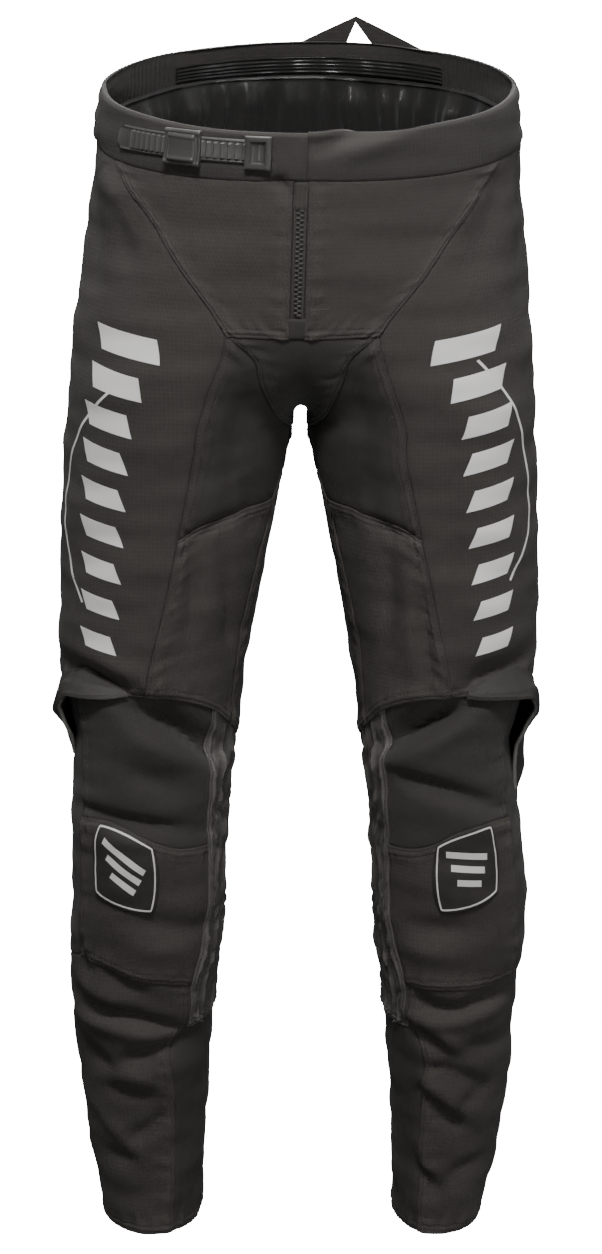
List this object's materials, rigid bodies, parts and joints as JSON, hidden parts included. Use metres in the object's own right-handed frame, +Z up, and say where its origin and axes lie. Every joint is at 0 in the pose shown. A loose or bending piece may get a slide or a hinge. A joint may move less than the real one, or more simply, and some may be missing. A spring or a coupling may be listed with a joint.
{
  "type": "off-road motorcycle trousers",
  "caption": "Long padded-knee riding trousers with stretch gussets, zip fly, toothed strap and buckle at the waist, elastic sides and open hems, filled out as worn.",
  "frame": {"origin": "middle of the waist, level with the waistband's top edge at the sides, where the trousers are held", "axes": "+Z up along the body, -Y the front, +X the wearer's left"},
  "size_m": [0.4107, 0.2601, 1.0399],
  "materials": {
    "woven_cloth": "fine ripstop weave, matt",
    "smooth_cloth": "plain dense weave, slight sheen",
    "stretch_cloth": "stretch weave, matt",
    "guard_leather": "fine grain, satin",
    "rib_elastic": "ribbed elastic, matt",
    "satin_lining": "satin",
    "gripper_rubber": "smooth, satin",
    "tape": "woven tape, matt",
    "badge_rubber": "moulded, matt",
    "black_plastic": "glossy"
  },
  "bodies": {
    "root": {"right_front_panel": "woven_cloth", "right_thigh_front": "woven_cloth", "right_inner_thigh_upper": "smooth_cloth", "right_inner_thigh_lower": "woven_cloth", "right_seat": "stretch_cloth", "right_back_thigh": "woven_cloth", "right_knee_upper": "stretch_cloth", "right_knee_patch": "woven_cloth", "right_inner_guard": "guard_leather", "right_knee_side": "stretch_cloth", "right_back_knee": "stretch_cloth", "right_shin": "woven_cloth", "right_shin_inner": "smooth_cloth", "right_calf": "woven_cloth", "right_knee_hood": "guard_leather", "right_knee_badge": "badge_rubber", "right_waistband_front": "smooth_cloth", "right_side_elastic": "rib_elastic", "left_front_panel": "woven_cloth", "left_thigh_front": "woven_cloth", "left_inner_thigh_upper": "smooth_cloth", "left_inner_thigh_lower": "woven_cloth", "left_seat": "stretch_cloth", "left_back_thigh": "woven_cloth", "left_knee_upper": "stretch_cloth", "left_knee_patch": "woven_cloth", "left_inner_guard": "guard_leather", "left_knee_side": "stretch_cloth", "left_back_knee": "stretch_cloth", "left_shin": "woven_cloth", "left_shin_inner": "smooth_cloth", "left_calf": "woven_cloth", "left_knee_hood": "guard_leather", "left_knee_badge": "badge_rubber", "left_waistband_front": "smooth_cloth", "left_side_elastic": "rib_elastic", "crotch_gusset": "stretch_cloth", "waistband_back": "smooth_cloth", "waist_gripper": "gripper_rubber", "back_lining": "satin_lining", "zip_tape": "tape", "zip_stop": "smooth_cloth", "strap_base": "tape", "toothed_strap": "black_plastic", "ratchet_buckle": "black_plastic", "ratchet_lever": "black_plastic", "strap_keeper": "black_plastic", "hanging_loop": "tape"}
  },
  "joints": []
}
